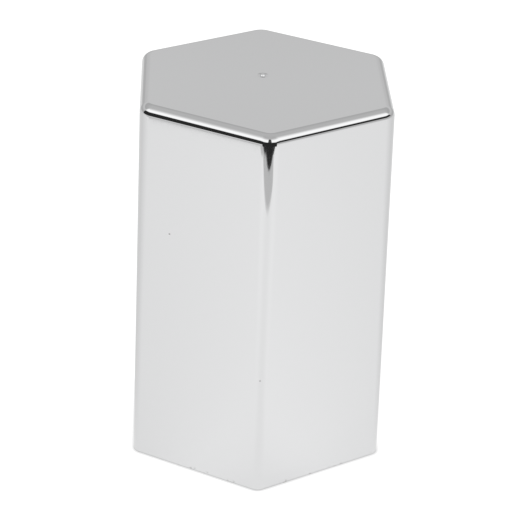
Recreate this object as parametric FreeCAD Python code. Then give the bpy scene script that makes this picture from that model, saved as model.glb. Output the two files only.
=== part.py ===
import FreeCAD, Part

import math
import os

"""Push-on cover for a 33 mm hexagon wheel nut.

A closed hexagonal shell stands on its open mouth.  Inside the mouth sits a
moulded cage.  Six spring leaves are clipped on a wire ring that is snapped
into notches on the cage, and they press on the six flats of the nut.  A
rubber gasket is pushed on the foot of the cage.

Frame: +Z up, origin on the axis in the plane of the rim, corners of the
hexagon on the Y axis, flats facing +X and -X.  All sizes are millimetres.
"""

Vec = FreeCAD.Vector

# ---------------------------------------------------------------- driving dimensions
NUT_AF = 33.0                 # across flats of the nut that the cover grips
STUD_R = 11.0                 # M22 wheel stud
SIDES = 6
HALF_SECTOR = 30.0            # degrees from the middle of a flat to a corner
CLOSE = 1e-4                  # two heights nearer than this are the same

SHELL_AF = 41.0               # across flats at the rim
SHELL_H = 63.0                # rim to roof
DRAFT = math.tan(math.radians(0.6))
RIM_CORNER_R = 1.7            # upright edges, at the rim
ROOF_CORNER_R = 3.0           # upright edges, at the roof
ROOF_FILLET_R = 1.6
WALL = 1.8
ROOF = 2.2
SEAT_STEP = 0.5               # ledge inside the shell that the cage seats on
SEAT_Z = 31.05
CAVITY_RIM_CORNER_R = 1.0
CAVITY_SEAT_CORNER_R = 1.3
CAVITY_ROOF_CORNER_R = 1.6
CAVITY_FILLET_R = 1.0
RIM_ROUND = 0.25
MOUTH_CHAMFER = 0.4

GATE_X, GATE_Y = -0.4, 1.4    # trimmed moulding gate near the middle of the roof, a low cone
GATE_R = 0.5                  # foot of the cone, at the floor of its dish
GATE_TOP_R = 0.3
GATE_PROUD = 0.18
GATE_ROUND = 0.06
GATE_DIMPLE_R = 0.95
GATE_DIMPLE_DEPTH = 0.06

SHELL_GAP = 0.25              # cage to shell, each side
CAGE_FOOT_Z = 2.0
CAGE_TOP_Z = 31.0
CAGE_CORNER_R = 2.0
BORE_AF = NUT_AF + 0.6        # hexagonal way in for the nut
BORE_CORNER_R = 0.8
BORE_LEAD_IN = 0.7
PLATE_T = 2.0                 # plate that stops the nut
STUD_HOLE_R = STUD_R + 0.5
COLLAR_WALL = 1.5
COLLAR_H = 1.2
CRUSH_RIB_PROUD = 0.15
CRUSH_RIB_R = 0.5
CRUSH_RIB_OFFSET = 8.2        # from the middle of the flat
CRUSH_RIB_Z = (4.0, 29.5)

LEAF_BAY_W = 10.2             # clear width that each leaf works in
LEAF_BAY_FOOT_Z = 4.0
LEAF_BAY_CORNER_R = 1.5
LEAF_BAY_BACK_APOTHEM = 16.9  # plate is cut back to here behind each leaf

LEAF_T = 0.4
LEAF_W = 9.0
LEAF_TAIL_W = 6.4
LEAF_TAIL_CORNER_R = 1.6
LEAF_EYE_R = 1.1              # radii of the bends are to the middle of the sheet
LEAF_EYE_WRAP = 235.0         # degrees that the eye goes round the wire
LEAF_TANG_BEND_R = 0.45
LEAF_TANG_APOTHEM = 13.7      # tip of the tang that bears on the plate
LEAF_TANG_LIFT = 0.15         # tang is this far off the plate when the leaf is free
LEAF_SLOT_W = 2.4
LEAF_SLOT_Z = (18.5, 27.0)

PIVOT_APOTHEM = 16.2          # axis that a leaf rocks about
PIVOT_Z = (
    CAGE_TOP_Z + LEAF_TANG_LIFT + LEAF_T / 2 + LEAF_TANG_BEND_R
    - (LEAF_EYE_R + LEAF_TANG_BEND_R) * math.sin(math.radians(LEAF_EYE_WRAP))
)
LEAF_ROUTE = (                # apothem and height of the bends below the eye
    (PIVOT_APOTHEM + LEAF_EYE_R, PIVOT_Z),
    (PIVOT_APOTHEM + LEAF_EYE_R, 23.5),
    (15.75, 14.0),
    (17.0, 6.8),
    (16.75, 5.2),
)
LEAF_BEND_RADII = (9.0, 7.0, 1.2)

WIRE_R = 0.8
WIRE_BEND_R = 2.6
WIRE_GAP = 0.8                # between the two ends of the wire
EAR_W = 1.8
EAR_APOTHEMS = (14.8, 17.45)
EAR_TOP_Z = PIVOT_Z + WIRE_R
EAR_NOTCH_CLEARANCE = 0.05
EAR_MOUTH_W = 1.4             # narrower than the wire, so that it snaps in
EDGE_R = 0.3                  # small edges of the cage mouldings

GASKET_AF = 36.9
GASKET_BORE_AF = 33.8
GASKET_CORNER_R = 2.0
GASKET_BORE_CORNER_R = 1.0
GASKET_H = CAGE_FOOT_Z
TONGUE_APOTHEMS = (17.35, 18.0)   # foot of the cage that the gasket is pushed on
TONGUE_FOOT_Z = 0.8
GASKET_BEAD_R = 0.35


# ---------------------------------------------------------------- helpers
def polar(radius, degrees, z=0.0):
    """Point at a distance from the axis, in a direction."""
    angle = math.radians(degrees)
    return Vec(radius * math.cos(angle), radius * math.sin(angle), z)


def rounded_hexagon(across_flats, corner_r, z):
    """Closed wire of a hexagon with round corners, flats facing +X and -X."""
    centre_r = (across_flats / 2 - corner_r) / math.cos(math.radians(HALF_SECTOR))
    arcs = []
    for k in range(SIDES):
        corner = HALF_SECTOR + 2 * HALF_SECTOR * k
        centre = polar(centre_r, corner, z)
        ends = [centre + polar(corner_r, corner + turn) for turn in (-HALF_SECTOR, 0, HALF_SECTOR)]
        arcs.append(Part.Arc(*ends).toShape())
    edges = []
    for k, arc in enumerate(arcs):
        after = arcs[(k + 1) % SIDES]
        edges.append(arc)
        edges.append(Part.makeLine(arc.Vertexes[-1].Point, after.Vertexes[0].Point))
    return Part.Wire(edges)


def hexagonal_prism(*sections):
    """Solid through rounded hexagons from the foot up, each given as (across flats, corner radius, z)."""
    return Part.makeLoft([rounded_hexagon(*section) for section in sections], True, True)


def box_on_flat(apothem_from, apothem_to, half_width, z_from, z_to):
    """Block that stands across the +X flat."""
    size = (apothem_to - apothem_from, 2 * half_width, z_to - z_from)
    return Part.makeBox(*size, Vec(apothem_from, -half_width, z_from))


def on_flat(shape, k):
    """Copy of a shape made on the +X flat, turned to flat k."""
    turned = shape.copy()
    turned.rotate(Vec(0, 0, 0), Vec(0, 0, 1), 2 * HALF_SECTOR * k)
    return turned


def on_every_flat(shape):
    """Six copies of a shape made on the +X flat."""
    return [on_flat(shape, k) for k in range(SIDES)]


def edges_at(shape, z):
    """Edges that lie in the level plane z."""
    return [e for e in shape.Edges if all(abs(p.z - z) < CLOSE for p in e.discretize(5))]


def edges_along(shape, way, z):
    """Straight edges in the level plane z that run along the unit vector way."""
    found = []
    for edge in edges_at(shape, z):
        run = edge.Vertexes[-1].Point - edge.Vertexes[0].Point
        if abs(abs(run.dot(way)) - edge.Length) < CLOSE:
            found.append(edge)
    return found


# ---------------------------------------------------------------- shell
def drafted_af(across_flats, z):
    """Across flats at height z of a wall that leans in by the draft."""
    return across_flats - 2 * DRAFT * z


def shell_body():
    """Outside of the shell, with the roof edge rounded."""
    body = hexagonal_prism(
        (SHELL_AF, RIM_CORNER_R, 0.0),
        (drafted_af(SHELL_AF, SHELL_H), ROOF_CORNER_R, SHELL_H),
    )
    body = body.makeFillet(ROOF_FILLET_R, edges_at(body, SHELL_H))
    return body.makeFillet(RIM_ROUND, edges_at(body, 0.0))


def shell_cavity():
    """Hollow of the shell: a wide mouth for the cage, a ledge, and a narrower chamber above it."""
    mouth_af = SHELL_AF - 2 * WALL
    chamber_af = mouth_af - 2 * SEAT_STEP
    ceiling_z = SHELL_H - ROOF
    mouth = hexagonal_prism(
        (mouth_af + 2 * MOUTH_CHAMFER, CAVITY_RIM_CORNER_R + MOUTH_CHAMFER, 0.0),
        (drafted_af(mouth_af, MOUTH_CHAMFER), CAVITY_RIM_CORNER_R, MOUTH_CHAMFER),
        (drafted_af(mouth_af, SEAT_Z), CAVITY_SEAT_CORNER_R, SEAT_Z),
    )
    chamber = hexagonal_prism(
        (drafted_af(chamber_af, SEAT_Z), CAVITY_SEAT_CORNER_R, SEAT_Z),
        (drafted_af(chamber_af, ceiling_z), CAVITY_ROOF_CORNER_R, ceiling_z),
    )
    chamber = chamber.makeFillet(CAVITY_FILLET_R, edges_at(chamber, ceiling_z))
    return mouth.fuse(chamber)


def gate_dimple():
    """Ball whose cap is the shallow dish around the gate."""
    radius = (GATE_DIMPLE_R**2 + GATE_DIMPLE_DEPTH**2) / (2 * GATE_DIMPLE_DEPTH)
    return Part.makeSphere(radius, Vec(GATE_X, GATE_Y, SHELL_H - GATE_DIMPLE_DEPTH + radius))


def gate_stub():
    """Low cone that is left where the moulding gate was trimmed."""
    root_z = SHELL_H - 0.3
    top_z = SHELL_H + GATE_PROUD
    flare = (GATE_R - GATE_TOP_R) / (GATE_PROUD + GATE_DIMPLE_DEPTH)
    root_r = GATE_TOP_R + flare * (top_z - root_z)
    stub = Part.makeCone(root_r, GATE_TOP_R, top_z - root_z, Vec(GATE_X, GATE_Y, root_z))
    return stub.makeFillet(GATE_ROUND, edges_at(stub, top_z))


def cover_shell():
    """Plated shell: one moulding with a closed roof and an open mouth."""
    shell = shell_body().cut(shell_cavity()).cut(gate_dimple())
    return shell.fuse(gate_stub())


# ---------------------------------------------------------------- cage
def cage_af(z):
    """Across flats of the outside of the cage at height z."""
    return drafted_af(SHELL_AF - 2 * WALL, z) - 2 * SHELL_GAP


def cage_sleeve():
    """Hexagonal sleeve with its way in for the nut, its lead-in and its stop plate."""
    sleeve = hexagonal_prism(
        (cage_af(CAGE_FOOT_Z), CAGE_CORNER_R, CAGE_FOOT_Z),
        (cage_af(CAGE_TOP_Z), CAGE_CORNER_R, CAGE_TOP_Z),
    )
    bore = hexagonal_prism(
        (BORE_AF + 2 * BORE_LEAD_IN, BORE_CORNER_R + BORE_LEAD_IN, CAGE_FOOT_Z),
        (BORE_AF, BORE_CORNER_R, CAGE_FOOT_Z + 2 * BORE_LEAD_IN),
        (BORE_AF, BORE_CORNER_R, CAGE_TOP_Z - PLATE_T),
    )
    return sleeve.cut(bore)


def cage_tongue():
    """Thin hexagonal tongue below the cage, which the gasket is pushed on."""
    inner, outer = TONGUE_APOTHEMS
    corner_r = GASKET_CORNER_R - (GASKET_AF / 2 - outer)
    rise = CAGE_FOOT_Z + BORE_LEAD_IN / 2
    ring = hexagonal_prism((2 * outer, corner_r, TONGUE_FOOT_Z), (2 * outer, corner_r, rise))
    hole = hexagonal_prism((2 * inner, BORE_CORNER_R, TONGUE_FOOT_Z), (2 * inner, BORE_CORNER_R, rise))
    return ring.cut(hole)


def leaf_bay():
    """Opening in a flat of the cage that a leaf works in, open to the top behind the plate."""
    plate_foot_z = CAGE_TOP_Z - PLATE_T
    opening = box_on_flat(
        BORE_AF / 2 - BORE_LEAD_IN, SHELL_AF / 2, LEAF_BAY_W / 2, LEAF_BAY_FOOT_Z, plate_foot_z
    )
    opening = opening.makeFillet(LEAF_BAY_CORNER_R, edges_along(opening, Vec(1, 0, 0), LEAF_BAY_FOOT_Z))
    behind_plate = box_on_flat(
        LEAF_BAY_BACK_APOTHEM, SHELL_AF / 2, LEAF_BAY_W / 2, plate_foot_z - PLATE_T, CAGE_TOP_Z + PLATE_T
    )
    return opening.fuse(behind_plate)


def wire_ear(side):
    """Upright ear beside a leaf, with the notch that the wire snaps into. side is +1 or -1."""
    inner, outer = EAR_APOTHEMS
    ear = box_on_flat(inner, outer, EAR_W / 2, CAGE_TOP_Z - PLATE_T / 2, EAR_TOP_Z)
    ear = ear.makeFillet(EDGE_R, edges_along(ear, Vec(0, 1, 0), EAR_TOP_Z))
    seat_r = WIRE_R + EAR_NOTCH_CLEARANCE
    seat = Part.makeCylinder(seat_r, 2 * EAR_W, Vec(PIVOT_APOTHEM, -EAR_W, PIVOT_Z), Vec(0, 1, 0))
    half_mouth = EAR_MOUTH_W / 2
    mouth = box_on_flat(
        PIVOT_APOTHEM - half_mouth, PIVOT_APOTHEM + half_mouth, EAR_W, PIVOT_Z, EAR_TOP_Z + WIRE_R
    )
    ear = ear.cut(seat.fuse(mouth))
    ear.translate(Vec(0, side * (LEAF_BAY_W + EAR_W) / 2, 0))
    return ear


def crush_rib(side):
    """Low upright rib on the outside of a flat, which the shell squeezes."""
    foot_z, top_z = CRUSH_RIB_Z
    leans = []
    for z in (foot_z, top_z):
        apothem = cage_af(z) / 2 + CRUSH_RIB_PROUD - CRUSH_RIB_R
        centre = Vec(apothem, side * CRUSH_RIB_OFFSET, z)
        leans.append(Part.Wire([Part.makeCircle(CRUSH_RIB_R, centre, Vec(0, 0, 1))]))
    return Part.makeLoft(leans, True, True)


def retainer_cage():
    """Moulded cage: sleeve, stop plate with a collar, tongue, windows, ears and crush ribs."""
    cage = cage_sleeve().fuse(cage_tongue())
    collar_foot = Vec(0, 0, CAGE_TOP_Z - PLATE_T / 2)
    collar = Part.makeCylinder(STUD_HOLE_R + COLLAR_WALL, COLLAR_H + PLATE_T / 2, collar_foot)
    collar = collar.makeFillet(EDGE_R, edges_at(collar, CAGE_TOP_Z + COLLAR_H))
    cage = cage.fuse(collar)
    cage = cage.cut(on_every_flat(leaf_bay()))
    extras = []
    for side in (-1, 1):
        extras += on_every_flat(wire_ear(side))
        extras += on_every_flat(crush_rib(side))
    cage = cage.fuse(extras)
    hole_foot = Vec(0, 0, CAGE_TOP_Z - 2 * PLATE_T)
    stud_hole = Part.makeCylinder(STUD_HOLE_R, 2 * PLATE_T + 2 * COLLAR_H, hole_foot)
    return cage.cut(stud_hole).removeSplitter()


# ---------------------------------------------------------------- wire ring, leaves, gasket
def hanger_ring():
    """Hexagonal ring of round spring wire, with its two ends meeting near the +Y corner."""
    path = rounded_hexagon(2 * PIVOT_APOTHEM, WIRE_BEND_R, PIVOT_Z)
    first = path.Edges[0]
    start = first.valueAt(first.FirstParameter)
    tangent = first.tangentAt(first.FirstParameter)
    circle = Part.Wire([Part.makeCircle(WIRE_R, start, tangent)])
    ring = path.makePipeShell([circle], True, False)
    corner = polar(PIVOT_APOTHEM, 3 * HALF_SECTOR, PIVOT_Z)
    reach = 4 * WIRE_R + WIRE_BEND_R
    gap_corner = Vec(-WIRE_GAP / 2, corner.y - reach, PIVOT_Z - 2 * WIRE_R)
    return ring.cut(Part.makeBox(WIRE_GAP, 2 * reach, 4 * WIRE_R, gap_corner))


def bend_arc(before, point, after, radius):
    """Centre of a bend of that radius at a point of a route, and the start, middle and end of its arc."""
    to_before = (before - point).normalize()
    to_after = (after - point).normalize()
    half_angle = to_before.getAngle(to_after) / 2
    setback = radius / math.tan(half_angle)
    middle_way = (to_before + to_after).normalize()
    centre = point + middle_way * (radius / math.sin(half_angle))
    return centre, [point + to_before * setback, centre - middle_way * radius, point + to_after * setback]


def side_of_sheet(offset):
    """One face of the leaf's sheet, from the tip of the tang to the tail: its edges and its two ends."""
    pivot = Vec(PIVOT_APOTHEM, 0, PIVOT_Z)

    def on_circle(centre, radius, degrees):
        angle = math.radians(degrees)
        return centre + Vec(radius * math.cos(angle), 0, radius * math.sin(angle))

    bend_centre = on_circle(pivot, LEAF_EYE_R + LEAF_TANG_BEND_R, LEAF_EYE_WRAP)
    bend_r = LEAF_TANG_BEND_R - offset
    bend_from = LEAF_EYE_WRAP - 180.0
    bend_to = -90.0
    under_bend = on_circle(bend_centre, bend_r, bend_to)
    tip = Vec(LEAF_TANG_APOTHEM, 0, under_bend.z)
    bend = [on_circle(bend_centre, bend_r, a) for a in (bend_to, (bend_from + bend_to) / 2, bend_from)]
    eye_r = LEAF_EYE_R + offset
    eye = [on_circle(pivot, eye_r, a) for a in (LEAF_EYE_WRAP, LEAF_EYE_WRAP / 2, 0.0)]
    edges = [Part.makeLine(tip, under_bend), Part.Arc(*bend).toShape(), Part.Arc(*eye).toShape()]

    route = [Vec(apothem, 0, z) for apothem, z in LEAF_ROUTE]
    last = eye[-1]
    for k, radius in enumerate(LEAF_BEND_RADII, start=1):
        centre, arc = bend_arc(route[k - 1], route[k], route[k + 1], radius)
        bulges_out = arc[1].x > centre.x
        scale = 1 + (offset if bulges_out else -offset) / radius
        arc = [centre + (point - centre) * scale for point in arc]
        edges += [Part.makeLine(last, arc[0]), Part.Arc(*arc).toShape()]
        last = arc[-1]
    run = (route[-1] - route[-2]).normalize()
    end = route[-1] + Vec(-run.z, 0, run.x) * offset
    edges.append(Part.makeLine(last, end))
    return edges, tip, end


def leaf_sheet():
    """Bent strip of the leaf at its full width, on the +X flat."""
    inner, inner_tip, inner_tail = side_of_sheet(-LEAF_T / 2)
    outer, outer_tip, outer_tail = side_of_sheet(LEAF_T / 2)
    edges = inner + outer
    edges.append(Part.makeLine(inner_tip, outer_tip))
    edges.append(Part.makeLine(inner_tail, outer_tail))
    outline = Part.Wire(Part.sortEdges(edges)[0])
    strip = Part.Face(outline).extrude(Vec(0, LEAF_W, 0))
    strip.translate(Vec(0, -LEAF_W / 2, 0))
    return strip


def leaf_blank():
    """Outline of the leaf seen from the axis: full width at the eye, tapering to a round tail."""
    tail_z = LEAF_ROUTE[-1][1] - LEAF_T
    taper_z = LEAF_ROUTE[1][1]
    top_z = PIVOT_Z + 2 * LEAF_EYE_R
    half_tail, half_eye = LEAF_TAIL_W / 2, LEAF_W / 2
    points = [
        (-half_tail, tail_z), (half_tail, tail_z), (half_eye, taper_z),
        (half_eye, top_z), (-half_eye, top_z), (-half_eye, taper_z), (-half_tail, tail_z),
    ]
    outline = Part.makePolygon([Vec(0, y, z) for y, z in points])
    blank = Part.Face(outline).extrude(Vec(SHELL_AF, 0, 0))
    return blank.makeFillet(LEAF_TAIL_CORNER_R, edges_along(blank, Vec(1, 0, 0), tail_z))


def spring_leaf():
    """Spring leaf on the +X flat: a tang, an eye, a slotted run, a crest for the nut and a tail."""
    low, high = LEAF_SLOT_Z
    half = LEAF_SLOT_W / 2
    centres = (low + half, high - half)
    slot = box_on_flat(0.0, SHELL_AF, half, *centres)
    ends = [Part.makeCylinder(half, SHELL_AF, Vec(0, 0, z), Vec(1, 0, 0)) for z in centres]
    leaf = leaf_sheet().common(leaf_blank())
    return leaf.cut(slot.fuse(ends))


def straight_hexagon(across_flats, corner_r, z_from, z_to):
    """Hexagonal prism with upright walls."""
    return hexagonal_prism((across_flats, corner_r, z_from), (across_flats, corner_r, z_to))


def gasket_bead(apothem):
    """Low ridge under the gasket: a hexagonal ring, narrower at its foot."""
    wide, narrow = 2 * GASKET_BEAD_R, GASKET_BEAD_R
    outside = hexagonal_prism(
        (2 * apothem + narrow, GASKET_CORNER_R, 0.0), (2 * apothem + wide, GASKET_CORNER_R, GASKET_BEAD_R)
    )
    inside = hexagonal_prism(
        (2 * apothem - narrow, GASKET_BORE_CORNER_R, 0.0),
        (2 * apothem - wide, GASKET_BORE_CORNER_R, GASKET_BEAD_R),
    )
    return outside.cut(inside)


def rim_gasket():
    """Rubber gasket: a hexagonal ring with a groove for the tongue and two beads under it."""
    ring = straight_hexagon(GASKET_AF, GASKET_CORNER_R, GASKET_BEAD_R, GASKET_H)
    hole = straight_hexagon(GASKET_BORE_AF, GASKET_BORE_CORNER_R, GASKET_BEAD_R, GASKET_H)
    inner, outer = TONGUE_APOTHEMS
    groove_corner_r = GASKET_CORNER_R - (GASKET_AF / 2 - outer)
    groove = straight_hexagon(2 * outer, groove_corner_r, TONGUE_FOOT_Z, GASKET_H)
    groove = groove.cut(straight_hexagon(2 * inner, BORE_CORNER_R, TONGUE_FOOT_Z, GASKET_H))
    gasket = ring.cut(hole).cut(groove)
    quarter = (GASKET_AF - GASKET_BORE_AF) / 8
    for apothem in (GASKET_AF / 2 - quarter, GASKET_BORE_AF / 2 + quarter):
        gasket = gasket.fuse(gasket_bead(apothem))
    return gasket.removeSplitter()


# ---------------------------------------------------------------- writing the parts
def write(node, shape):
    """Writes one node, and prints its size so that a bad solid shows at once."""
    solids = shape.Solids
    solid = solids[0] if len(solids) == 1 else Part.makeCompound(solids)
    solid.exportStep(os.path.join("parts", node + ".step"))
    print(f"{node}: {len(solids)} solid, valid {solid.isValid()}, {solid.Volume:.1f} mm3")


def main():
    os.makedirs("parts", exist_ok=True)
    write("cover_shell", cover_shell())
    write("retainer_cage", retainer_cage())
    write("hanger_ring", hanger_ring())
    write("rim_gasket", rim_gasket())
    leaf = spring_leaf()
    for k in range(SIDES):
        write(f"spring_leaf_{k + 1}", on_flat(leaf, k))


main()
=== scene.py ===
"""Push-on cover for a 33 mm hexagon wheel nut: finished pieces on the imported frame, and a white studio."""

import logging
import math
from dataclasses import dataclass, field
from enum import Enum
from typing import Iterable, Sequence

import bmesh
import bpy
from mathutils import Matrix, Vector


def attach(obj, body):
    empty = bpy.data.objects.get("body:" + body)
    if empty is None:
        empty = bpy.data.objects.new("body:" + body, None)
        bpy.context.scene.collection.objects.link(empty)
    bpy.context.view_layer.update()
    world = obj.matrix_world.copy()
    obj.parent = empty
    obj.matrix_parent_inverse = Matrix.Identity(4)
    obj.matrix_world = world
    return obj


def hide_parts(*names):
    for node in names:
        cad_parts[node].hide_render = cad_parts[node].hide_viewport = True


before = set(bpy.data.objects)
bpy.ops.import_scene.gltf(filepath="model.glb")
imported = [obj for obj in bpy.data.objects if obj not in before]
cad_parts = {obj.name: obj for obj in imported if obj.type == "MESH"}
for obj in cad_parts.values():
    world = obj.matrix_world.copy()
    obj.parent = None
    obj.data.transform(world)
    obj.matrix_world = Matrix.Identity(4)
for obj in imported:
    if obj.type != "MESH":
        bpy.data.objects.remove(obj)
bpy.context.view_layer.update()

MM = 0.001
SIDES = 6
SECTOR = 60.0
HALF_SECTOR = 30.0
FULL_TURN = 360.0
WELD = 0.002 * MM
FLAT_WITHIN = 0.6
SHARP_FROM = 32.0
LOG = logging.getLogger("nut_cover")
Socket = bpy.types.NodeSocket
Colour = tuple[float, float, float]


class Facing(float, Enum):
    """Lean of a surface in the upright plane, in degrees."""

    UP = 90.0
    DOWN = -90.0
    IN_AND_DOWN = -135.0
    CEILING = 270.0


class Wear(float, Enum):
    """How much use a finish shows."""

    NEW = 0.35
    HANDLED = 1.0


# ---------------------------------------------------------------- finishes
class NodeTree:
    """A material or world node tree with short ways to add and join nodes."""

    def __init__(self, owner: bpy.types.ID) -> None:
        """Empties the tree of a material or a world.

        Args:
            owner: the material or world whose nodes are rebuilt.
        """
        owner.use_nodes = True
        self.tree = owner.node_tree
        self.tree.nodes.clear()

    def add(self, kind: str, inputs: dict | None = None, **settings: object) -> bpy.types.Node:
        """Adds a node.

        Args:
            kind: node type, without the word ShaderNode.
            inputs: socket name or number to a constant, or to an output socket that feeds it.
            settings: the node's own properties.

        Returns:
            The new node.
        """
        node = self.tree.nodes.new("ShaderNode" + kind)
        for name, value in settings.items():
            setattr(node, name, value)
        for socket, value in (inputs or {}).items():
            if isinstance(value, bpy.types.NodeSocket):
                self.tree.links.new(value, node.inputs[socket])
            else:
                node.inputs[socket].default_value = value
        return node

    def math(self, operation: str, first: object, second: object = 0.0) -> Socket:
        """Adds a Math node.

        Args:
            operation: name of the operation.
            first: constant or output socket.
            second: constant or output socket.

        Returns:
            Its output socket.
        """
        return self.add("Math", {0: first, 1: second}, operation=operation).outputs[0]

    def times(self, *factors: object) -> Socket:
        """Multiplies constants and output sockets in order.

        Args:
            factors: two or more of them.

        Returns:
            The socket of the product.
        """
        product = factors[0]
        for factor in factors[1:]:
            product = self.math("MULTIPLY", product, factor)
        return product

    def axes(self, vector: Socket) -> bpy.types.bpy_prop_collection:
        """Splits a vector into its X, Y and Z sockets."""
        return self.add("SeparateXYZ", {0: vector}).outputs

    def remap(self, value: Socket, source: tuple, target: tuple, smooth: bool = False) -> Socket:
        """Adds a clamped Map Range node.

        Args:
            value: socket to remap.
            source: lowest and highest value in.
            target: values out for them.
            smooth: eases both ends.

        Returns:
            Its output socket.
        """
        ends = dict(zip(("From Min", "From Max", "To Min", "To Max"), (*source, *target)))
        easing = "SMOOTHSTEP" if smooth else "LINEAR"
        return self.add("MapRange", {"Value": value, **ends}, interpolation_type=easing).outputs["Result"]

    def noise(self, where: Socket, per_mm: float, detail: float = 2.0, rough: float = 0.5) -> Socket:
        """Adds a noise texture.

        Args:
            where: coordinates in metres.
            per_mm: features in a millimetre.
            detail: octaves.
            rough: share of each octave.

        Returns:
            The socket of its value, which is about 0.5 on average.
        """
        inputs = {"Vector": where, "Scale": per_mm / MM, "Detail": detail, "Roughness": rough}
        return self.add("TexNoise", inputs).outputs[0]

    def ramp(self, value: Socket, stops: Sequence[tuple[float, Colour]]) -> Socket:
        """Adds a colour ramp.

        Args:
            value: socket that picks the place on the ramp.
            stops: (place, (r, g, b)) in order.

        Returns:
            The socket of its colour.
        """
        node = self.add("ValToRGB", {"Fac": value})
        elements = node.color_ramp.elements
        while len(elements) < len(stops):
            elements.new(1.0)
        for element, (place, colour) in zip(elements, stops):
            element.position = place
            element.color = (*colour, 1.0)
        return node.outputs["Color"]

    def mix(self, share: object, first: object, second: object) -> Socket:
        """Adds a colour mix.

        Args:
            share: how much of the second colour.
            first: colour or socket.
            second: colour or socket.

        Returns:
            The socket of its colour.
        """
        node = self.add("Mix", {0: share, 6: first, 7: second}, data_type="RGBA")
        return node.outputs[2]

    def finish(self, shader: Socket) -> None:
        """Joins a surface shader to a material's output."""
        self.add("OutputMaterial", {"Surface": shader})


def rgb(red: float, green: float, blue: float) -> tuple[float, float, float, float]:
    """Colour with an alpha of one."""
    return (red, green, blue, 1.0)


@dataclass(frozen=True)
class ChromePlate:
    """Bright chrome on a moulded part: mirror, slight ripple, hairlines, dust specks and a worn rim."""

    name: str = "bright_chrome_plate"
    wear: Wear = Wear.NEW
    tint: tuple = (0.655, 0.657, 0.662)
    roughness: tuple = (0.025, 0.05)
    ripple_per_mm: float = 0.16
    ripple_depth: float = 0.0006
    speck_per_mm: float = 0.11
    rim_height: float = 0.9 * MM

    def build(self) -> bpy.types.Material:
        """Makes the material.

        Returns:
            The chrome material.
        """
        material = bpy.data.materials.new(self.name)
        tree = NodeTree(material)
        where = tree.add("TexCoord").outputs["Object"]
        cloud = tree.noise(where, 0.06, 3.0)
        haze = tree.noise(where, 0.9, 4.0, 0.6)
        drawn_out = {"Vector": where, "Scale": (1.0, 1.0, 0.04), "Rotation": (0.5, 0.35, 0.0)}
        stretched = tree.add("Mapping", drawn_out)
        hairline = tree.noise(stretched.outputs[0], 2.2, 2.0, 0.7)
        hairline = tree.remap(hairline, (0.70, 0.78), (0.0, 1.0))
        cells = tree.add("TexVoronoi", {"Vector": where, "Scale": self.speck_per_mm / MM, "Randomness": 1.0})
        speck = tree.remap(cells.outputs["Distance"], (0.012, 0.022), (1.0, 0.0), smooth=True)
        height = tree.axes(where)["Z"]
        rim = tree.remap(height, (0.0, self.rim_height), (1.0, 0.0), smooth=True)
        chips = tree.remap(tree.noise(where, 1.4, 3.0, 0.65), (0.60, 0.66), (0.0, 1.0))
        chips = tree.times(rim, chips)
        marks = tree.math("MAXIMUM", speck, chips)
        dull = tree.times(hairline, 0.05 * self.wear)
        veil = tree.math("ADD", tree.times(cloud, 0.6), tree.times(haze, 0.4))
        base_rough = tree.remap(veil, (0.35, 0.65), self.roughness)
        rough = tree.math("ADD", tree.math("ADD", base_rough, dull), tree.times(marks, 0.35))
        colour = tree.mix(tree.times(marks, 0.55), rgb(*self.tint), rgb(0.20, 0.19, 0.18))
        ripple = tree.noise(where, self.ripple_per_mm, 1.0)
        bump = tree.add("Bump", {"Height": ripple, "Strength": 1.0, "Distance": self.ripple_depth * MM})
        scratch = tree.add("Bump", {"Height": tree.math("MAXIMUM", hairline, marks), "Strength": 0.08,
                                    "Distance": 0.004 * MM, "Normal": bump.outputs[0]}, invert=True)
        shader = tree.add("BsdfPrincipled", {
            "Base Color": colour, "Metallic": 1.0, "Roughness": rough, "Normal": scratch.outputs[0],
        })
        tree.finish(shader.outputs[0])
        return material


@dataclass(frozen=True)
class MouldedNylon:
    """Black glass-filled nylon: spark-eroded texture, faint flow marks, polished spots where steel rubs."""

    name: str = "black_moulded_nylon"
    dark: tuple = (0.018, 0.018, 0.020)
    light: tuple = (0.040, 0.040, 0.043)
    grain_per_mm: float = 5.5

    def build(self) -> bpy.types.Material:
        """Makes the material.

        Returns:
            The nylon material.
        """
        material = bpy.data.materials.new(self.name)
        tree = NodeTree(material)
        where = tree.add("TexCoord").outputs["Object"]
        flow = tree.noise(where, 0.12, 4.0, 0.6)
        grain = tree.noise(where, self.grain_per_mm, 3.0, 0.7)
        fibres = tree.add("Mapping", {"Vector": where, "Scale": (1.0, 1.0, 0.12)})
        fibre = tree.remap(tree.noise(fibres.outputs[0], 3.0, 2.0), (0.62, 0.72), (0.0, 1.0))
        edge = tree.add("NewGeometry").outputs["Pointiness"]
        rubbed = tree.remap(edge, (0.53, 0.60), (0.0, 1.0), smooth=True)
        shade = tree.math("ADD", tree.times(flow, 0.6), tree.times(fibre, 0.15))
        colour = tree.mix(shade, rgb(*self.dark), rgb(*self.light))
        colour = tree.mix(tree.times(rubbed, 0.35), colour, rgb(0.085, 0.085, 0.088))
        rough = tree.remap(grain, (0.3, 0.7), (0.44, 0.62))
        rough = tree.math("ADD", rough, tree.times(rubbed, -0.12))
        bump = tree.add("Bump", {"Height": grain, "Strength": 0.5, "Distance": 0.02 * MM})
        shader = tree.add("BsdfPrincipled", {
            "Base Color": colour, "Roughness": rough, "Normal": bump.outputs[0], "Specular IOR Level": 0.45,
        })
        tree.finish(shader.outputs[0])
        return material


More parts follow.
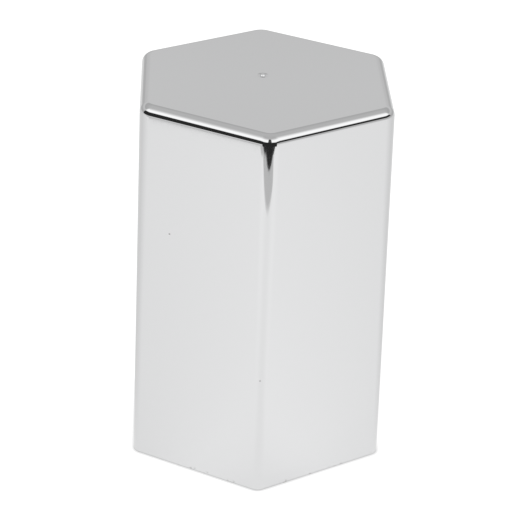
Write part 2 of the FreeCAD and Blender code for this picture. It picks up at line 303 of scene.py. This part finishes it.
@dataclass(frozen=True)
class SpringStrip:
    """Tempered spring strip: grain along the strip, blue and straw tints near the bends, polished crest."""

    name: str = "tempered_spring_strip"
    steel: tuple = (0.50, 0.49, 0.46)
    straw: tuple = (0.42, 0.33, 0.20)
    blue: tuple = (0.20, 0.22, 0.30)
    crest_height: float = 14.0 * MM

    def build(self) -> bpy.types.Material:
        """Makes the material.

        Returns:
            The spring steel material.
        """
        material = bpy.data.materials.new(self.name)
        tree = NodeTree(material)
        where = tree.add("TexCoord").outputs["Object"]
        rolled = tree.add("Mapping", {"Vector": where, "Scale": (1.0, 1.0, 0.03)})
        grain = tree.noise(rolled.outputs[0], 7.0, 3.0, 0.6)
        stain = tree.noise(where, 0.22, 4.0, 0.6)
        height = tree.axes(where)["Z"]
        wavy = tree.math("ADD", height, tree.times(tree.math("SUBTRACT", stain, 0.5), 9.0 * MM))
        heat = tree.remap(wavy, (20.0 * MM, 35.0 * MM), (0.0, 1.0))
        tints = (self.steel, self.straw, self.blue, self.straw, self.steel)
        tint = tree.ramp(heat, list(zip((0.0, 0.42, 0.62, 0.78, 1.0), tints)))
        colour = tree.mix(0.55, rgb(*self.steel), tint)
        near = tree.math("ABSOLUTE", tree.math("SUBTRACT", height, self.crest_height))
        polished = tree.remap(near, (1.0 * MM, 3.5 * MM), (1.0, 0.0), smooth=True)
        colour = tree.mix(tree.times(polished, 0.5), colour, rgb(0.62, 0.61, 0.59))
        rough = tree.remap(grain, (0.3, 0.7), (0.24, 0.42))
        rough = tree.math("ADD", rough, tree.times(polished, -0.1))
        bump = tree.add("Bump", {"Height": grain, "Strength": 0.25, "Distance": 0.006 * MM})
        shader = tree.add("BsdfPrincipled", {
            "Base Color": colour, "Metallic": 1.0, "Roughness": rough, "Normal": bump.outputs[0],
        })
        tree.finish(shader.outputs[0])
        return material


@dataclass(frozen=True)
class DrawnWire:
    """Zinc-coated drawn wire: fine rings of drawing marks and dull patches of oxide."""

    name: str = "zinc_coated_wire"
    bright: tuple = (0.60, 0.61, 0.62)
    dull: tuple = (0.42, 0.42, 0.41)

    def build(self) -> bpy.types.Material:
        """Makes the material.

        Returns:
            The wire material.
        """
        material = bpy.data.materials.new(self.name)
        tree = NodeTree(material)
        where = tree.add("TexCoord").outputs["Object"]
        patch = tree.remap(tree.noise(where, 0.5, 5.0, 0.65), (0.42, 0.60), (0.0, 1.0))
        drawn = tree.add("Mapping", {"Vector": where, "Scale": (0.3, 0.3, 4.0)})
        grain = tree.noise(drawn.outputs[0], 3.0, 3.0, 0.6)
        colour = tree.mix(patch, rgb(*self.bright), rgb(*self.dull))
        rough = tree.remap(grain, (0.3, 0.7), (0.24, 0.36))
        rough = tree.math("ADD", rough, tree.times(patch, 0.15))
        bump = tree.add("Bump", {"Height": grain, "Strength": 0.2, "Distance": 0.01 * MM})
        shader = tree.add("BsdfPrincipled", {
            "Base Color": colour, "Metallic": 1.0, "Roughness": rough, "Normal": bump.outputs[0],
        })
        tree.finish(shader.outputs[0])
        return material


@dataclass(frozen=True)
class GasketRubber:
    """Moulded black rubber: matt, slightly mottled, with a bloom that dulls it in patches."""

    name: str = "moulded_gasket_rubber"
    dark: tuple = (0.010, 0.010, 0.010)
    bloom: tuple = (0.040, 0.040, 0.042)

    def build(self) -> bpy.types.Material:
        """Makes the material.

        Returns:
            The rubber material.
        """
        material = bpy.data.materials.new(self.name)
        tree = NodeTree(material)
        where = tree.add("TexCoord").outputs["Object"]
        patch = tree.remap(tree.noise(where, 0.35, 5.0, 0.6), (0.42, 0.66), (0.0, 1.0))
        grain = tree.noise(where, 7.0, 2.0, 0.6)
        colour = tree.mix(patch, rgb(*self.dark), rgb(*self.bloom))
        rough = tree.remap(grain, (0.3, 0.7), (0.70, 0.88))
        bump = tree.add("Bump", {"Height": grain, "Strength": 0.4, "Distance": 0.015 * MM})
        shader = tree.add("BsdfPrincipled", {
            "Base Color": colour, "Roughness": rough, "Normal": bump.outputs[0], "Specular IOR Level": 0.3,
        })
        tree.finish(shader.outputs[0])
        return material


# ---------------------------------------------------------------- making meshes
@dataclass(frozen=True)
class Section:
    """A level ring in millimetres: a hexagon with round corners, the lean of the surface there, its middle.

    Where the corner radius is half the width across flats, the ring is a circle.
    """

    across_flats: float
    corner_radius: float
    height: float
    lean: float
    middle: tuple = (0.0, 0.0)


@dataclass(frozen=True)
class Fillet:
    """A rounded change of lean round the hexagon, in millimetres and degrees."""

    start: Section
    radius: float
    end_lean: float
    steps: int
    hollow: bool = False

    def sections(self) -> list[Section]:
        """Rings of the rounding.

        Returns:
            The sections after the start, up to the one with the end lean.
        """
        side = -1.0 if self.hollow else 1.0
        lean = math.radians(self.start.lean)
        reach = side * self.radius
        centre_af = self.start.across_flats - 2 * reach * math.cos(lean)
        centre_corner = self.start.corner_radius - reach * math.cos(lean)
        centre_z = self.start.height - reach * math.sin(lean)
        rings = []
        for step in range(1, self.steps + 1):
            degrees = self.start.lean + (self.end_lean - self.start.lean) * step / self.steps
            angle = math.radians(degrees)
            rings.append(Section(
                centre_af + 2 * reach * math.cos(angle),
                centre_corner + reach * math.cos(angle),
                centre_z + reach * math.sin(angle),
                degrees,
                self.start.middle,
            ))
        return rings


class HexagonSkin:
    """A closed skin extruded from ring to ring, which keeps the true facing of each point for its shading."""

    LAYERS = ("corner_way", "arc_way", "facing")
    MERGE = 1e-7

    def __init__(self, corner_steps: int) -> None:
        """Starts an empty skin.

        Args:
            corner_steps: edges in each rounded corner.
        """
        self.corner_steps = corner_steps
        self.bm = bmesh.new()
        layers = self.bm.verts.layers.float_vector
        for name in self.LAYERS:
            layers.new(name)
        self.corner_way, self.arc_way, self.facing = (layers[name] for name in self.LAYERS)
        self.ring: list[bmesh.types.BMEdge] = []

    def _first_ring(self) -> list[bmesh.types.BMEdge]:
        """Turns a point about each corner of a unit hexagon, and joins the arcs.

        Returns:
            The edges of the closed ring.
        """
        arcs = []
        for corner in range(SIDES):
            towards = Matrix.Rotation(math.radians(HALF_SECTOR + SECTOR * corner), 3, "Z") @ Vector((1, 0, 0))
            first = Matrix.Rotation(math.radians(-HALF_SECTOR), 3, "Z") @ towards
            known = len(self.bm.verts)
            start = self.bm.verts.new(towards + first)
            bmesh.ops.spin(
                self.bm, geom=[start], cent=towards, axis=(0, 0, 1), angle=math.radians(SECTOR),
                steps=self.corner_steps,
            )
            self.bm.verts.ensure_lookup_table()
            arc = self.bm.verts[known:]
            for vert in arc:
                vert[self.corner_way] = towards
                vert[self.arc_way] = (vert.co - towards).normalized()
            arcs.append(arc)
        edges = list(self.bm.edges)
        for arc, following in zip(arcs, arcs[1:] + arcs[:1]):
            edges.append(self.bm.edges.new((arc[-1], following[0])))
        return edges

    def _place(self, section: Section) -> None:
        """Moves the last ring's points to a section.

        Args:
            section: where the ring goes, and how it faces.
        """
        radius = section.corner_radius * MM
        reach = (section.across_flats / 2 - section.corner_radius) * MM / math.cos(math.radians(HALF_SECTOR))
        lean = math.radians(section.lean)
        level = Vector((*section.middle, section.height)) * MM
        for vert in {v for edge in self.ring for v in edge.verts}:
            vert.co = vert[self.corner_way] * reach + vert[self.arc_way] * radius + level
            vert[self.facing] = vert[self.arc_way] * math.cos(lean) + Vector((0, 0, math.sin(lean)))

    def add(self, sections: Iterable[Section]) -> None:
        """Extrudes the skin through further rings.

        Args:
            sections: rings in order.
        """
        for section in sections:
            if self.ring:
                grown = bmesh.ops.extrude_edge_only(self.bm, edges=self.ring)["geom"]
                edges = (item for item in grown if isinstance(item, bmesh.types.BMEdge))
                self.ring = [edge for edge in edges if edge.is_boundary]
                self._place(section)
            else:
                self.ring = self._first_ring()
                self._place(section)
                bmesh.ops.edgeloop_fill(self.bm, edges=self.ring)

    def close(self, name: str) -> bpy.types.Object:
        """Fills the last ring and makes the object.

        Args:
            name: the piece's name.

        Returns:
            The finished object at the origin, with its true facings as its shading.
        """
        bmesh.ops.edgeloop_fill(self.bm, edges=self.ring)
        bmesh.ops.remove_doubles(self.bm, verts=self.bm.verts, dist=self.MERGE)
        bmesh.ops.recalc_face_normals(self.bm, faces=self.bm.faces)
        for face in self.bm.faces:
            face.smooth = True
        piece = link_mesh(name, self.bm)
        attributes = piece.data.attributes
        normals = [Vector(item.vector).normalized() for item in attributes["facing"].data]
        piece.data.normals_split_custom_set_from_vertices(normals)
        for layer in self.LAYERS:
            attributes.remove(attributes[layer])
        return piece


def link_mesh(name: str, bm: bmesh.types.BMesh) -> bpy.types.Object:
    """Turns a bmesh into an object in the scene.

    Args:
        name: the piece's name.
        bm: the mesh, which is freed.

    Returns:
        The new object.
    """
    mesh = bpy.data.meshes.new(name)
    bm.to_mesh(mesh)
    bm.free()
    piece = bpy.data.objects.new(name, mesh)
    bpy.context.scene.collection.objects.link(piece)
    return piece


def softened_copy(node: str, name: str, width: float) -> bpy.types.Object:
    """Copies a CAD node, joins its triangles into whole faces, and rounds its edges.

    Args:
        node: the CAD node.
        name: the new piece's name.
        width: width of the rounding, in millimetres.

    Returns:
        The new piece.
    """
    bm = bmesh.new()
    bm.from_mesh(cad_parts[node].data)
    bmesh.ops.remove_doubles(bm, verts=bm.verts, dist=WELD)
    bmesh.ops.dissolve_degenerate(bm, edges=bm.edges, dist=WELD)
    bmesh.ops.dissolve_limit(bm, angle_limit=math.radians(FLAT_WITHIN), verts=bm.verts, edges=bm.edges)
    for face in bm.faces:
        face.smooth = True
    piece = link_mesh(name, bm)
    bevel = piece.modifiers.new("edge_rounding", "BEVEL")
    bevel.width = width * MM
    bevel.segments = 2
    bevel.limit_method = "ANGLE"
    bevel.angle_limit = math.radians(SHARP_FROM)
    bevel.harden_normals = True
    return piece


def dress(piece: bpy.types.Object, material: bpy.types.Material) -> None:
    """Gives a piece one material in place of any it has."""
    piece.data.materials.clear()
    piece.data.materials.append(material)


# ---------------------------------------------------------------- sub-assemblies
@dataclass
class PlatedShell:
    """The closed hexagonal shell: roof with the trimmed gate, drafted walls, open rim and hollow."""

    rim_af: float = 41.0
    height: float = 63.0
    draft: float = 0.6
    rim_corner: float = 1.7
    roof_corner: float = 3.0
    roof_fillet: float = 1.6
    wall: float = 1.8
    roof: float = 2.2
    seat_step: float = 0.5
    seat_height: float = 31.05
    rim_round: float = 0.25
    mouth_chamfer: float = 0.4
    hollow_corners: tuple = (1.0, 1.3, 1.6)
    hollow_fillet: float = 1.0
    gate_middle: tuple = (-0.4, 1.4)
    gate_radius: float = 0.45
    gate_top: float = 0.3
    gate_proud: float = 0.18
    gate_round: float = 0.04
    dish_radius: float = 0.95
    dish_depth: float = 0.06
    crease: float = 0.03
    fill_radius: float = 2.0
    corner_steps: int = 16
    edge_steps: int = 14
    wall_steps: int = 7
    rim_steps: int = 5
    hollow_steps: int = 6
    gate_steps: int = 4
    dish_steps: int = 5
    finish: ChromePlate = field(default_factory=ChromePlate)

    def _af(self, at_rim: float, height: float) -> float:
        """Across flats of a drafted wall at a height."""
        return at_rim - 2 * math.tan(math.radians(self.draft)) * height

    def _outer_corner(self, height: float) -> float:
        """Radius of the outer upright edge at a height."""
        return self.rim_corner + (self.roof_corner - self.rim_corner) * height / self.height

    def _wall_ring(self, height: float) -> Section:
        """Ring of the outer wall at a height."""
        return Section(self._af(self.rim_af, height), self._outer_corner(height), height, self.draft)

    def _gate_circle(self, radius: float, height: float, lean: float) -> Section:
        """Round ring about the middle of the gate."""
        return Section(2 * radius, radius, height, lean, self.gate_middle)

    def _gate(self) -> list[Section]:
        """Rings of the trimmed gate, a low cone, and the shallow dish round it.

        Returns:
            Sections from the top of the gate out to the edge of the dish.
        """
        top = self.height + self.gate_proud
        ball = (self.dish_radius**2 + self.dish_depth**2) / (2 * self.dish_depth)
        floor = self.height - self.dish_depth
        flare = (self.gate_radius - self.gate_top) / (self.gate_proud + self.dish_depth)
        side = math.degrees(math.atan(flare))
        crown = self.gate_top - self.gate_round * math.tan(math.radians(90.0 - side) / 2)
        foot = (math.sqrt(1 + 2 * flare * self.gate_radius / ball) - 1) * ball / flare
        start = self._gate_circle(crown, top, Facing.UP.value)
        rings = [self._gate_circle(crown / 3, top, Facing.UP.value), start]
        rings += Fillet(start, self.gate_round, side, self.gate_steps).sections()
        crease = self.crease / 2
        rings.append(self._gate_circle(foot - crease * flare, floor + foot**2 / (2 * ball) + crease, side))
        inner = foot + crease
        for step in range(self.dish_steps + 1):
            radius = inner + (self.dish_radius - inner) * step / self.dish_steps
            slope = math.degrees(math.asin(radius / ball))
            height = floor + ball - math.sqrt(ball**2 - radius**2)
            rings.append(self._gate_circle(radius, height, Facing.UP.value + slope))
        rings.append(self._gate_circle(self.dish_radius + self.crease, self.height, Facing.UP.value))
        return rings

    def _outside(self) -> list[Section]:
        """Rings of the roof, its rounded edge, the walls and the rim.

        Returns:
            Sections from beside the dish to the foot of the wall.
        """
        fillet_foot = self.height - self.roof_fillet * (1 - math.sin(math.radians(self.draft)))
        wall_top = self._wall_ring(fillet_foot)
        edge = Fillet(wall_top, self.roof_fillet, Facing.UP.value, self.edge_steps).sections()
        rings = [*reversed(edge), wall_top]
        rounding_top = self.rim_round * (1 + math.sin(math.radians(self.draft)))
        for step in range(1, self.wall_steps + 1):
            rings.append(self._wall_ring(fillet_foot + (rounding_top - fillet_foot) * step / self.wall_steps))
        rings += Fillet(rings[-1], self.rim_round, Facing.DOWN.value, self.rim_steps).sections()
        return rings

    def _inside(self) -> list[Section]:
        """Rings of the mouth's chamfer, the seat for the cage, the chamber and its ceiling.

        Returns:
            Sections from the mouth to the middle of the ceiling.
        """
        mouth_af = self.rim_af - 2 * self.wall
        chamber_af = mouth_af - 2 * self.seat_step
        near, seat, far = self.hollow_corners
        inward = 180.0 + self.draft
        gap = self.crease
        ceiling = self.height - self.roof
        opening = self.mouth_chamfer
        down, chamfer, up_ahead = Facing.DOWN.value, Facing.IN_AND_DOWN.value, Facing.CEILING.value
        step_z = self.seat_height
        fillet_foot = ceiling - self.hollow_fillet * (1 + math.sin(math.radians(inward)))
        wall_end = Section(self._af(chamber_af, fillet_foot), far, fillet_foot, inward)
        rings = [
            Section(mouth_af + 2 * (opening + gap), near + opening + gap, 0.0, down),
            Section(mouth_af + 2 * (opening - gap), near + opening - gap, gap, chamfer),
            Section(mouth_af + 2 * gap, near + gap, opening - gap, chamfer),
            Section(self._af(mouth_af, opening), near, opening + gap, inward - FULL_TURN),
            Section(self._af(mouth_af, step_z - gap), seat, step_z - gap, inward),
            Section(self._af(mouth_af, step_z) - 2 * gap, seat - gap, step_z, up_ahead),
            Section(self._af(chamber_af, step_z) + 2 * gap, seat + gap, step_z, up_ahead),
            Section(self._af(chamber_af, step_z + gap), seat, step_z + gap, inward),
            wall_end,
        ]
        rings += Fillet(wall_end, self.hollow_fillet, up_ahead, self.hollow_steps, hollow=True).sections()
        rings.append(Section(2 * self.fill_radius, self.fill_radius, ceiling, up_ahead))
        return rings

    def build(self) -> bpy.types.Object:
        """Makes and dresses the shell.

        Returns:
            The finished shell.
        """
        skin = HexagonSkin(self.corner_steps)
        skin.add(self._gate())
        skin.add(self._outside())
        skin.add(self._inside())
        shell = skin.close("plated_shell")
        dress(shell, self.finish.build())
        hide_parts("cover_shell")
        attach(shell, "cover")
        return shell


@dataclass
class SprungRetainer:
    """What sits in the mouth: cage, wire ring, leaves and gasket, with their edges rounded and dressed."""

    cage_edge: float = 0.12
    leaf_edge: float = 0.06
    gasket_edge: float = 0.12
    nylon: MouldedNylon = field(default_factory=MouldedNylon)
    strip: SpringStrip = field(default_factory=SpringStrip)
    wire: DrawnWire = field(default_factory=DrawnWire)
    rubber: GasketRubber = field(default_factory=GasketRubber)

    @staticmethod
    def _piece(
        node: str, name: str, edge: float, material: bpy.types.Material, body: str, slot: str
    ) -> bpy.types.Object:
        """Makes one softened piece in place of its CAD node.

        Args:
            node: the CAD node it replaces.
            name: the piece's name.
            edge: width of its edge rounding, in millimetres.
            material: its finish.
            body: the body it rides on.
            slot: the material slot in the record; not used.

        Returns:
            The finished piece.
        """
        piece = softened_copy(node, name, edge)
        dress(piece, material)
        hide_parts(node)
        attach(piece, body)
        return piece

    def build(self) -> list[bpy.types.Object]:
        """Makes and dresses the retainer's pieces.

        Returns:
            The finished pieces.
        """
        nylon, rubber, steel = self.nylon.build(), self.rubber.build(), self.strip.build()
        cage = self._piece("retainer_cage", "nylon_cage", self.cage_edge, nylon, "cage", "black_nylon")
        gasket = self._piece("rim_gasket", "rubber_gasket", self.gasket_edge, rubber, "cage", "gasket_rubber")
        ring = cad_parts["hanger_ring"]
        dress(ring, self.wire.build())
        leaves = [
            self._piece(
                f"spring_leaf_{number}", f"steel_leaf_{number}", self.leaf_edge, steel, f"leaf_{number}",
                "spring_steel",
            )
            for number in range(1, SIDES + 1)
        ]
        return [cage, gasket, ring, *leaves]


# ---------------------------------------------------------------- studio
@dataclass(frozen=True)
class ViewPoint:
    """Camera place, in millimetres and degrees, and its lens and sensor."""

    azimuth: float = -2.65
    elevation: float = 27.76
    roll: float = 2.06
    distance: float = 345.06
    target_height: float = 31.56
    slide_right: float = -0.538
    slide_up: float = -0.442
    lens: float = 145.85
    sensor: float = 36.0

    def build(self) -> bpy.types.Object:
        """Makes the camera.

        Returns:
            The scene's camera.
        """
        azimuth, elevation, roll = (math.radians(v) for v in (self.azimuth, self.elevation, self.roll))
        level = Vector((math.cos(azimuth), math.sin(azimuth), 0.0))
        back = Vector((0, 0, 1)).cross(level) * -math.cos(elevation) + Vector((0, 0, math.sin(elevation)))
        upright = back.cross(level)
        right = level * math.cos(roll) + upright * math.sin(roll)
        up = back.cross(right)
        place = Vector((0, 0, self.target_height)) + back * self.distance
        place += right * self.slide_right + up * self.slide_up
        data = bpy.data.cameras.new("view_camera")
        data.lens = self.lens
        data.sensor_width = self.sensor
        data.clip_start = 10.0 * MM
        camera = bpy.data.objects.new("view_camera", data)
        pose = Matrix((right, up, back)).transposed().to_4x4()
        pose.translation = place * MM
        camera.matrix_world = pose
        bpy.context.scene.collection.objects.link(camera)
        bpy.context.scene.camera = camera
        return camera


@dataclass(frozen=True)
class Flag:
    """Dark card that only shows in reflections from within its reach, with soft lower and upper borders.

    It stands at a distance from the axis, at a heading in degrees from the front, and is slid aside from
    there. Lengths are in millimetres.
    """

    name: str
    distance: float
    width: float
    heading: float = 0.0
    low: float = -20.0
    high: float = 122.0
    aside: float = 0.0
    reach: float = 92.0
    dark: float = 0.03
    soft: float = 6.0


@dataclass
class Studio:
    """White sweep, soft surround, overhead softbox and dark flags that draw the lines in the chrome.

    Lengths are in millimetres. The floor glows in place of being lit, and its glow carries painted light and
    shade: it glows less with distance, and by heading, each as values in and values out, and a painted
    contact shadow darkens it where the cover stands. The surround is brightness against the sine of the
    elevation, at the back and in front. The shade is painted shade, a grey card seen only in reflections
    past soft borders on the floor: one across the front, and two slanted ones, each a steepness and where x
    times the steepness plus y lies on it.
    """

    floor_size: float = 12000.0
    floor_glow: float = 0.88
    floor_albedo: float = 0.22
    # Painted light and shade on the floor's glow, by heading: brighter in front and to the right, fainter at
    # the sides and behind.
    glow_ahead: tuple = ((-0.84, 0.33), (1.0, 0.68))
    glow_right: tuple = ((0.3, 0.85), (1.0, 1.07))
    # Painted shade: the floor's glow is faintly darker in a narrow band straight ahead of and behind the
    # cover.
    painted_shade_middle: tuple = ((0.05, 0.45), (0.945, 1.0))
    # Painted fall-off of the light: the floor's glow dims with distance from the cover.
    fade: tuple = (350.0, 2500.0)
    fade_least: float = 0.45
    # Reach and darkness of the painted contact shadow round the cover's foot.
    contact_shadow: float = 0.6
    contact_shadow_dark: float = 0.72
    flags: tuple = (
        Flag("flag_left", heading=-60.0, distance=95.0, width=170.0, low=49.0, high=104.0),
        Flag("flag_right", heading=60.0, distance=95.0, width=170.0, low=72.0, high=104.0),
        Flag("flag_front", distance=150.0, width=95.0, aside=-0.5, reach=168.0),
        Flag("flag_lens", distance=260.0, width=90.0, low=60.0, high=480.0, reach=540.0, dark=0.08,
             soft=60.0),
        Flag("flag_front_left", heading=-24.8, distance=156.3, width=58.0, aside=-9.4, reach=168.0),
        Flag("flag_front_right", heading=15.8, distance=157.1, width=56.0, aside=32.0, reach=168.0),
    )
    back: tuple = (
        (0.0, 0.62), (0.12, 0.56), (0.21, 0.68), (0.33, 0.72), (0.39, 0.775), (0.44, 0.775), (0.52, 0.55),
        (0.70, 0.60), (0.85, 0.67), (1.0, 0.64),
    )
    front: tuple = (
        (0.0, 0.62), (0.30, 0.80), (0.50, 1.42), (0.70, 1.46), (0.77, 1.20), (0.83, 0.93), (0.88, 0.76),
        (0.94, 0.60), (1.0, 0.64),
    )
    sides: tuple = (-0.05, 0.20)
    brightest: float = 2.0
    # Painted shade on the floor, a grey card seen only in reflections:
    shade_grey: float = 0.70
    shade_lift: float = 0.3
    shade_box: tuple = ((-880.0, -600.0), (300.0, -60.0))
    shade_front: tuple = (-133.0, -126.0)
    shade_right_end: tuple = (48.0, 62.0)
    shade_steep: tuple = (0.95, (-210.5, -207.5))
    shade_slight: tuple = (0.6, (-169.4, -168.9))
    shade_reach: tuple = (175.0, 450.0)
    key_place: tuple = (-120.0, -160.0, 420.0)
    key_tilt: float = 25.0
    key_side: float = 350.0
    key_watts: float = 1.2

    def _world(self) -> None:
        """Makes the surround: brightness by direction, and plain white where the camera sees it."""
        world = bpy.data.worlds.new("studio_surround")
        bpy.context.scene.world = world
        tree = NodeTree(world)
        heading = tree.axes(tree.add("TexCoord").outputs["Generated"])
        rise, along = heading["Z"], heading["Y"]
        front, back = (
            tree.ramp(rise, [(place, (grey / self.brightest,) * 3) for place, grey in stops])
            for stops in (self.front, self.back)
        )
        share = tree.remap(along, self.sides, (0.0, 1.0), smooth=True)
        scaled = {0: tree.mix(share, front, back), 1: (self.brightest,) * 3}
        surround = tree.add("VectorMath", scaled, operation="MULTIPLY").outputs[0]
        seen = tree.add("LightPath").outputs["Is Camera Ray"]
        colour = tree.mix(seen, surround, rgb(1.0, 1.0, 1.0))
        shine = tree.add("Background", {"Color": colour, "Strength": 1.0})
        tree.add("OutputWorld", {"Surface": shine.outputs[0]})

    def _plane(self, name: str, corners: Sequence[Vector], material: bpy.types.Material) -> bpy.types.Object:
        """Makes a flat stage card.

        Args:
            name: the card's name.
            corners: its corners in order.
            material: what it is made of.

        Returns:
            The card.
        """
        bm = bmesh.new()
        bmesh.ops.contextual_create(bm, geom=[bm.verts.new(corner) for corner in corners])
        card = link_mesh(name, bm)
        dress(card, material)
        return card

    def _floor(self) -> None:
        """Makes the white floor, which glows in place of being lit, with painted light and shade: it glows
        less at the sides and behind the cover than in front of it, and a painted contact shadow darkens it
        where the cover stands.
        """
        material = bpy.data.materials.new("white_sweep")
        tree = NodeTree(material)
        where = tree.add("TexCoord").outputs["Object"]
        heading = tree.axes(tree.add("VectorMath", {0: where}, operation="NORMALIZE").outputs["Vector"])
        # Painted light and shade: the glow is brighter in front of the cover and to its right, fainter at the
        # sides and behind it.
        ahead = tree.remap(heading["Y"], *self.glow_ahead)
        right = tree.remap(heading["X"], *self.glow_right)
        # Painted shade: the glow is faintly darker in a narrow band along the middle, straight ahead of and
        # behind the cover.
        middle = tree.remap(tree.math("ABSOLUTE", heading["X"]), *self.painted_shade_middle, smooth=True)
        # Painted fall-off of the light: the glow dims with distance from the cover.
        away = tree.add("VectorMath", {0: where}, operation="LENGTH").outputs["Value"]
        start, end = self.fade
        fading = tree.remap(away, (start * MM, end * MM), (1.0, self.fade_least), smooth=True)
        glow = tree.times(ahead, right, middle, self.floor_glow, fading)
        seen = tree.add("LightPath").outputs["Is Camera Ray"]
        glow = tree.math("MAXIMUM", glow, tree.times(seen, self.floor_glow))
        # Painted contact shadow: ambient occlusion darkens the floor's glow and its grey where the cover
        # stands on it.
        open_sky = tree.add("AmbientOcclusion", {"Distance": self.contact_shadow * MM}, samples=8).outputs["AO"]
        contact_shadow = tree.remap(open_sky, (0.5, 1.0), (self.contact_shadow_dark, 1.0))
        light = tree.add("Emission", {"Color": rgb(1.0, 1.0, 1.0), "Strength": tree.times(glow, contact_shadow)})
        albedo = tree.times(contact_shadow, self.floor_albedo)
        grey = tree.add("CombineXYZ", {0: albedo, 1: albedo, 2: albedo}).outputs[0]
        paper = tree.add("BsdfDiffuse", {"Color": grey})
        tree.finish(tree.add("AddShader", {0: light.outputs[0], 1: paper.outputs[0]}).outputs[0])
        half = self.floor_size / 2
        self._plane("studio_floor", self._level_corners((-half, -half), (half, half), 0.0), material)

    @staticmethod
    def _level_corners(near_left: tuple, far_right: tuple, height: float) -> list[Vector]:
        """Finds the corners of a level card.

        Args:
            near_left: x and y of its near left corner, in millimetres.
            far_right: x and y of its far right corner.
            height: its height above the floor.

        Returns:
            The four corners in order, in metres.
        """
        (left, near), (right, far) = near_left, far_right
        around = ((left, near), (right, near), (right, far), (left, far))
        return [Vector((x, y, height)) * MM for x, y in around]

    def _flag(self, flag: Flag) -> None:
        """Makes one dark card.

        Args:
            flag: where it stands and how dark it is.
        """
        material = bpy.data.materials.new(flag.name)
        tree = NodeTree(material)
        height = tree.axes(tree.add("TexCoord").outputs["Object"])["Z"]
        lower = tree.remap(height, (flag.low * MM, (flag.low + flag.soft) * MM), (0.0, 1.0), smooth=True)
        upper = tree.remap(height, ((flag.high - flag.soft) * MM, flag.high * MM), (1.0, 0.0), smooth=True)
        travelled = tree.add("LightPath").outputs["Ray Length"]
        near = tree.remap(travelled, (flag.reach * MM, flag.reach * 1.08 * MM), (1.0, 0.0), smooth=True)
        solid = tree.times(lower, upper, near)
        dark = tree.add("Emission", {"Color": rgb(*(flag.dark,) * 3), "Strength": 1.0})
        clear = tree.add("BsdfTransparent")
        mixed = tree.add("MixShader", {0: solid, 1: clear.outputs[0], 2: dark.outputs[0]})
        tree.finish(mixed.outputs[0])
        turn = Matrix.Rotation(math.radians(flag.heading), 3, "Z")
        corners = [
            turn @ Vector((x * flag.width / 2 + flag.aside, -flag.distance, z)) * MM
            for x, z in ((-1, flag.low), (1, flag.low), (1, flag.high), (-1, flag.high))
        ]
        self._reflection_only(self._plane(flag.name, corners, material))

    def _front_shade(self) -> None:
        """Makes the painted shade on the floor near its front and left border, a grey card seen only in
        reflections.
        """
        material = bpy.data.materials.new("shaded_paper")
        tree = NodeTree(material)
        place = tree.axes(tree.add("TexCoord").outputs["Object"])
        across, along = place["X"], place["Y"]

        def within(value: Socket, border: tuple) -> Socket:
            """One below a soft border given in millimetres, and nothing above it."""
            return tree.remap(value, (border[0] * MM, border[1] * MM), (1.0, 0.0), smooth=True)

        slanted = [
            within(tree.math("ADD", along, tree.times(across, steepness)), border)
            for steepness, border in (self.shade_steep, self.shade_slight)
        ]
        ahead = tree.times(within(along, self.shade_front), within(across, self.shade_right_end))
        shade = tree.math("MAXIMUM", ahead, tree.times(*slanted))
        travelled = tree.add("LightPath").outputs["Ray Length"]
        shade = tree.times(shade, within(travelled, self.shade_reach))
        # Painted shade: a grey glow that shows only in reflections.
        grey = tree.add("Emission", {"Color": rgb(*(self.shade_grey,) * 3), "Strength": 1.0})
        clear = tree.add("BsdfTransparent")
        tree.finish(tree.add("MixShader", {0: shade, 1: clear.outputs[0], 2: grey.outputs[0]}).outputs[0])
        corners = self._level_corners(*self.shade_box, self.shade_lift)
        self._reflection_only(self._plane("front_shade", corners, material))

    @staticmethod
    def _reflection_only(card: bpy.types.Object) -> None:
        """Hides a card from everything but reflections.

        Args:
            card: the card to hide.
        """
        card.visible_camera = False
        card.visible_diffuse = False
        card.visible_shadow = False
        card.visible_transmission = False

    def _key(self) -> None:
        """Hangs the square softbox, which lights the matt pieces and stays out of reflections."""
        light = bpy.data.lights.new("soft_key", "AREA")
        light.shape = "RECTANGLE"
        light.size = light.size_y = self.key_side * MM
        light.energy = self.key_watts
        key = bpy.data.objects.new("soft_key", light)
        tilt = Matrix.Rotation(math.radians(self.key_tilt), 4, "X")
        key.matrix_world = Matrix.Translation(Vector(self.key_place) * MM) @ tilt
        key.visible_glossy = False
        bpy.context.scene.collection.objects.link(key)

    def build(self) -> None:
        """Makes the whole studio."""
        view = bpy.context.scene.view_settings
        view.view_transform = "Standard"
        view.look = "None"
        self._world()
        self._floor()
        for flag in self.flags:
            self._flag(flag)
        self._front_shade()
        self._key()


def main() -> None:
    """Builds the camera, the cover and the studio in order, and reports each piece."""
    logging.basicConfig(level=logging.INFO, format="%(name)s: %(message)s")
    ViewPoint().build()
    shell = PlatedShell().build()
    LOG.info("%s: %d faces", shell.name, len(shell.data.polygons))
    for piece in SprungRetainer().build():
        LOG.info("%s: %d faces", piece.name, len(piece.data.polygons))
    Studio().build()


if __name__ == "__main__":
    main()
